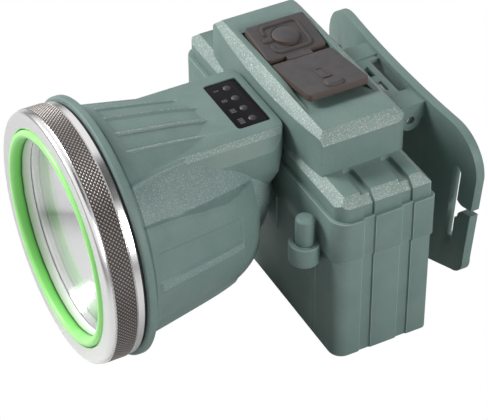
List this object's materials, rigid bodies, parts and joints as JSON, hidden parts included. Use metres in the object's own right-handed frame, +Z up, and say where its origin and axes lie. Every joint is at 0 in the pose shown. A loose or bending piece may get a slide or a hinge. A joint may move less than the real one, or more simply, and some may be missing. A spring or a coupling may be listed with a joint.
{
  "type": "miner's cap lamp",
  "caption": "Cordless cap lamp: knurled bezel and bell-shaped head on a battery block, with switch, charging flap and a tilting forehead bracket.",
  "frame": {"origin": "on the ground under the middle of the lamp's bounding box", "axes": "+Z up, +Y towards the wearer's forehead (the lamp shines along -Y), +X across the forehead"},
  "size_m": [0.0888, 0.1075, 0.0714],
  "materials": {
    "bezel": "turned, knurled and polished",
    "glow_silicone": "translucent satin",
    "clear_lens": "clear polycarbonate, polished",
    "black_rubber": "matt",
    "reflector_coat": "aluminised, bright",
    "led_package": "glossy",
    "white_board": "solder mask",
    "sink_metal": "machined",
    "green_abs": "fine moulded texture",
    "smoked_window": "smoked, glossy",
    "diode": "glossy",
    "green_board": "solder mask",
    "screw_steel": "zinc plated",
    "black_plastic": "moulded",
    "cell_wrap": "shrink wrap over a steel can",
    "nickel": "nickel plate",
    "switch_plastic": "moulded",
    "plunger_plastic": "moulded",
    "brown_rubber": "matt",
    "socket_steel": "plated",
    "pin_steel": "ground"
  },
  "bodies": {
    "lamp": {"bezel_ring": "bezel", "glow_ring": "glow_silicone", "lens": "clear_lens", "bezel_seal": "black_rubber", "reflector": "reflector_coat", "lamp_led": "led_package", "led_board": "white_board", "heat_sink": "sink_metal", "head_shell": "green_abs", "indicator_window": "smoked_window", "indicator_leds": "diode", "indicator_board": "green_board", "head_screws": "screw_steel", "upper_housing": "green_abs", "band": "green_abs", "lower_case": "green_abs", "case_seal": "black_rubber", "case_screws": "screw_steel", "cell_holder": "black_plastic", "cell_upper": "cell_wrap", "cell_lower": "cell_wrap", "cell_contacts": "nickel", "control_board": "green_board", "board_screws": "screw_steel", "tact_switch": "switch_plastic", "switch_pad": "brown_rubber", "usb_socket": "socket_steel", "friction_washers": "pin_steel"},
    "bracket": {"bracket": "green_abs", "hinge_pin": "pin_steel"},
    "button": {"switch_button": "brown_rubber", "switch_plunger": "plunger_plastic"},
    "flap": {"usb_flap": "brown_rubber"},
    "post": {"lock_post": "green_abs"}
  },
  "joints": [
    {"name": "bracket_tilt", "type": "hinge", "parent": "lamp", "child": "bracket", "pos_m": [0, 0.04525, 0.0497], "axis": [1, 0, 0], "range_deg": [-15, 50]},
    {"name": "button_press", "type": "slide", "parent": "lamp", "child": "button", "axis": [0, 0, -1], "range_m": [0, 0.0008], "stiffness_N_per_m": 2500},
    {"name": "flap_open", "type": "hinge", "parent": "lamp", "child": "flap", "pos_m": [-0.003, 0.022, 0.066], "axis": [0, -1, 0], "range_deg": [0, 90]},
    {"name": "post_slide", "type": "slide", "parent": "lamp", "child": "post", "axis": [0, 0, 1], "range_m": [0, 0.004]}
  ]
}
